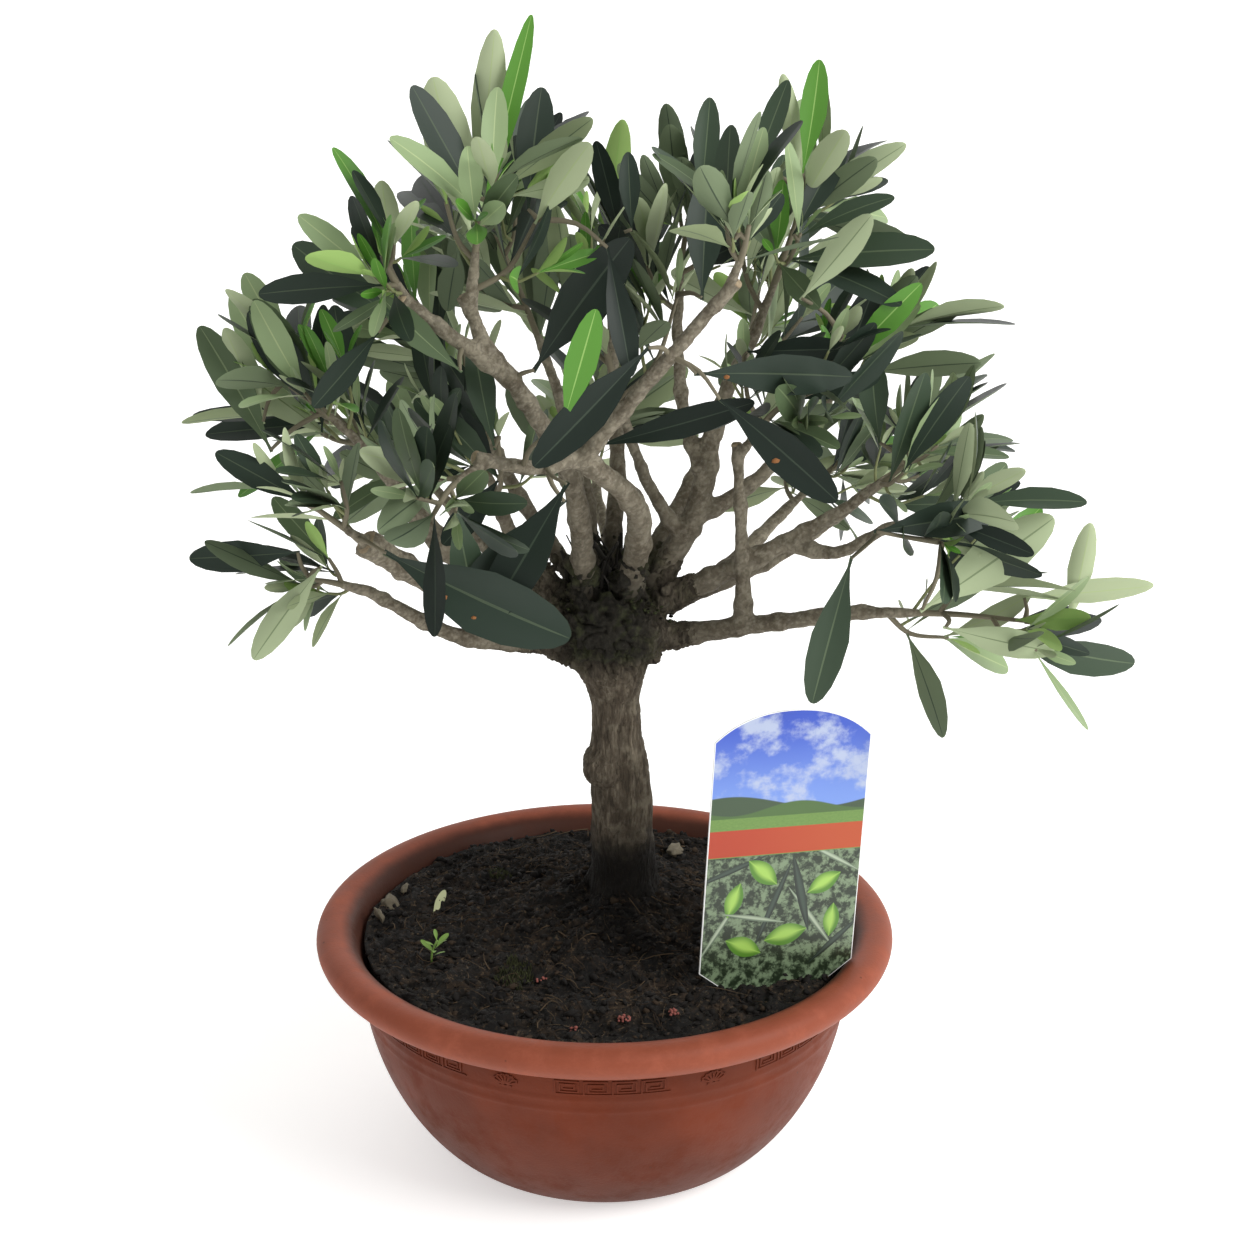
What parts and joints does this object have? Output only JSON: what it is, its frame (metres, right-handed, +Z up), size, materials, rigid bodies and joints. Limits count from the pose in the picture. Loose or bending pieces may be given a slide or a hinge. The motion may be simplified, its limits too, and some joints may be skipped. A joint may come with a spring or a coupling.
{
  "type": "potted olive tree",
  "caption": "Small pollarded olive tree with a swollen trunk head and a wide open crown of narrow leaves, growing in a round bowl-shaped pot with a picture card in its soil.",
  "frame": {"origin": "centre of the pot's flat underside, on the surface that it stands on", "axes": "+Z up; the picture card faces -Y; +X is to the right when it is seen from the card's side"},
  "size_m": [0.4108, 0.3378, 0.5031],
  "materials": {
    "terracotta_plastic": "matt moulded plastic, terracotta red, a little dusty",
    "potting_soil": "damp dark peaty potting soil",
    "printed_card": "glossy printed plastic card",
    "bark": "rough grey-brown bark with fine vertical fissures",
    "foliage": "leathery leaves, dark green above and pale grey-green beneath"
  },
  "bodies": {
    "root": {"pot": "terracotta_plastic", "soil": "potting_soil", "plant_card": "printed_card", "trunk": "bark", "bough_low_right": "bark", "bough_upright": "bark", "bough_right": "bark", "bough_right_fork": "bark", "bough_crown_right": "bark", "bough_right_high": "bark", "bough_right_top": "bark", "bough_centre_right": "bark", "bough_front_arch": "bark", "bough_front_stub": "bark", "bough_front_right": "bark", "bough_front_high": "bark", "bough_top_left": "bark", "bough_left_high": "bark", "bough_left": "bark", "bough_left_stub": "bark", "bough_low_left": "bark", "bough_left_inner": "bark", "bough_centre_left": "bark", "bough_back_left": "bark", "bough_back_right": "bark", "bough_back_top": "bark", "bough_back_low": "bark", "bough_back_low_right": "bark", "bough_back_low_left": "bark", "bough_right_rear": "bark", "bough_left_rear": "bark", "bough_left_back_high": "bark", "spray_low_right": "foliage", "spray_right_inner": "foliage", "spray_right": "foliage", "spray_right_front": "foliage", "spray_right_high": "foliage", "spray_top_right": "foliage", "spray_top_middle": "foliage", "spray_front_right": "foliage", "spray_front": "foliage", "spray_top_left": "foliage", "spray_left_high": "foliage", "spray_left": "foliage", "spray_left_front": "foliage", "spray_low_left": "foliage", "spray_left_inner": "foliage", "spray_centre": "foliage", "spray_back_left": "foliage", "spray_back_right": "foliage", "spray_back_top": "foliage", "spray_back_low": "foliage", "spray_back_low_right": "foliage", "spray_back_low_left": "foliage", "spray_right_rear": "foliage", "spray_left_rear": "foliage", "spray_left_back_high": "foliage"}
  },
  "joints": []
}
